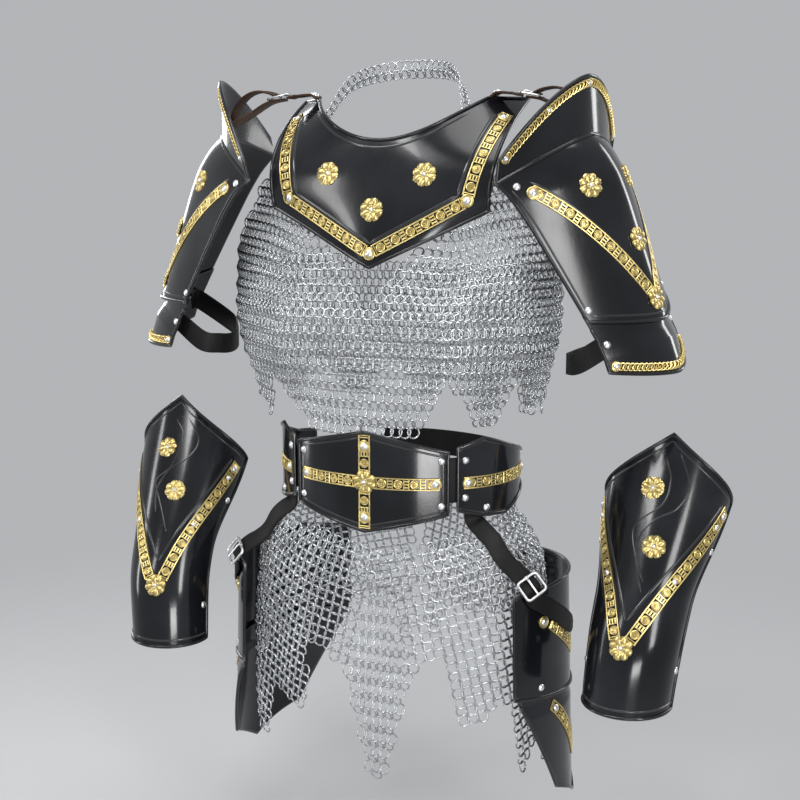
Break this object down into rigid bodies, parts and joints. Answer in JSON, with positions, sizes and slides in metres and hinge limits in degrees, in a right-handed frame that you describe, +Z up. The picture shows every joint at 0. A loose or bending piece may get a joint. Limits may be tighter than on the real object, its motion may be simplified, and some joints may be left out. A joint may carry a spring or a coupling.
{
  "type": "chainmail suit",
  "caption": "Woman's fantasy armour suit: ring-mail top and dagged mail skirt with gloss-black steel gorget, hinged belt, pauldrons, tassets and bracers trimmed in pierced gold",
  "frame": {"origin": "on the wearer's upright axis at the middle of the belt's height", "axes": "+Z up, -Y the wearer's front, +X the wearer's left"},
  "size_m": [0.7086, 0.2423, 0.7998],
  "materials": {
    "black_steel": "gloss black over steel",
    "gold_trim": "pierced gold-coloured strip, link chain and rosettes",
    "rivet_metal": "bright domed rivet heads",
    "mail_steel": "butted wire rings, bright",
    "black_leather": "smooth black strap leather",
    "brown_leather": "dark brown strap leather",
    "buckle_nickel": "nickel-plated wire buckles"
  },
  "bodies": {
    "suit": {"gorget_plate": "black_steel", "gorget_trim": "gold_trim", "gorget_rivets": "rivet_metal", "mail_top": "mail_steel", "neck_mail": "mail_steel", "belt_front_plate": "black_steel", "belt_cross": "gold_trim", "belt_rivets": "rivet_metal", "belt_hinges": "black_leather", "mail_skirt": "mail_steel", "shoulder_strap_left": "brown_leather", "shoulder_strap_right": "brown_leather", "bracer_shell_left": "black_steel", "bracer_shell_right": "black_steel", "bracer_trims": "gold_trim", "bracer_straps": "black_leather", "bracer_hardware": "rivet_metal"},
    "belt_side_left": {"belt_side_plate_left": "black_steel", "belt_side_trim_left": "gold_trim", "belt_side_rivets_left": "rivet_metal", "belt_back_strap": "black_leather"},
    "shoulder_left": {"shoulder_buckle_left": "buckle_nickel", "pauldron_strap_left": "brown_leather", "pauldron_cop_left": "black_steel", "haute_piece_left": "black_steel", "pauldron_trim_left": "gold_trim", "pauldron_rivets_left": "rivet_metal"},
    "arm_lame_left": {"lame_left": "black_steel", "lame_trim_left": "gold_trim", "lame_rivets_left": "rivet_metal", "arm_strap_left": "black_leather"},
    "tasset_left": {"tasset_strap_left": "black_leather", "tasset_upper_left": "black_steel", "tasset_upper_trim_left": "gold_trim", "tasset_upper_rivets_left": "rivet_metal"},
    "tasset_low_left": {"tasset_lower_left": "black_steel", "tasset_lower_trim_left": "gold_trim", "tasset_lower_rivets_left": "rivet_metal"},
    "belt_side_right": {"belt_side_plate_right": "black_steel", "belt_side_trim_right": "gold_trim", "belt_side_rivets_right": "rivet_metal", "belt_back_buckle": "buckle_nickel"},
    "shoulder_right": {"shoulder_buckle_right": "buckle_nickel", "pauldron_strap_right": "brown_leather", "pauldron_cop_right": "black_steel", "haute_piece_right": "black_steel", "pauldron_trim_right": "gold_trim", "pauldron_rivets_right": "rivet_metal"},
    "arm_lame_right": {"lame_right": "black_steel", "lame_trim_right": "gold_trim", "lame_rivets_right": "rivet_metal", "arm_strap_right": "black_leather"},
    "tasset_right": {"tasset_strap_right": "black_leather", "tasset_upper_right": "black_steel", "tasset_upper_trim_right": "gold_trim", "tasset_upper_rivets_right": "rivet_metal"},
    "tasset_low_right": {"tasset_lower_right": "black_steel", "tasset_lower_trim_right": "gold_trim", "tasset_lower_rivets_right": "rivet_metal"},
    "dagger": {"skirt_dagger": "mail_steel"}
  },
  "joints": [
    {"name": "belt_hinge_left", "type": "hinge", "parent": "suit", "child": "belt_side_left", "pos_m": [0.0879, -0.077, 0], "axis": [0, 0, -1], "range_deg": [0, 35]},
    {"name": "shoulder_swing_left", "type": "hinge", "parent": "suit", "child": "shoulder_left", "pos_m": [0.1323, 0.006, 0.3959], "axis": [0, -1, 0], "range_deg": [0, 55]},
    {"name": "lame_swing_left", "type": "hinge", "parent": "shoulder_left", "child": "arm_lame_left", "pos_m": [0.24569, -0.003, 0.19224], "axis": [-0.3231, -0.9397, -0.1122], "range_deg": [0, 4]},
    {"name": "tasset_swing_left", "type": "hinge", "parent": "suit", "child": "tasset_left", "pos_m": [0.1071, -0.058, -0.038], "axis": [0, -1, 0], "range_deg": [0, 8]},
    {"name": "tasset_low_swing_left", "type": "hinge", "parent": "tasset_left", "child": "tasset_low_left", "pos_m": [0.16165, 0.01947, -0.22], "axis": [0.2499, -0.9683, 0], "range_deg": [0, 5]},
    {"name": "belt_hinge_right", "type": "hinge", "parent": "suit", "child": "belt_side_right", "pos_m": [-0.0879, -0.077, 0], "axis": [0, 0, 1], "range_deg": [0, 35]},
    {"name": "shoulder_swing_right", "type": "hinge", "parent": "suit", "child": "shoulder_right", "pos_m": [-0.1323, 0.006, 0.3959], "axis": [0, 1, 0], "range_deg": [0, 55]},
    {"name": "lame_swing_right", "type": "hinge", "parent": "shoulder_right", "child": "arm_lame_right", "pos_m": [-0.24569, -0.003, 0.19224], "axis": [-0.3231, 0.9397, 0.1122], "range_deg": [0, 4]},
    {"name": "tasset_swing_right", "type": "hinge", "parent": "suit", "child": "tasset_right", "pos_m": [-0.1071, -0.058, -0.038], "axis": [0, 1, 0], "range_deg": [0, 8]},
    {"name": "tasset_low_swing_right", "type": "hinge", "parent": "tasset_right", "child": "tasset_low_right", "pos_m": [-0.16165, 0.01947, -0.22], "axis": [0.2499, 0.9683, 0], "range_deg": [0, 5]},
    {"name": "dagger_swing", "type": "hinge", "parent": "suit", "child": "dagger", "pos_m": [0.0182, -0.113, -0.2005], "axis": [-0.9971, -0.076, 0], "range_deg": [0, 40]}
  ]
}
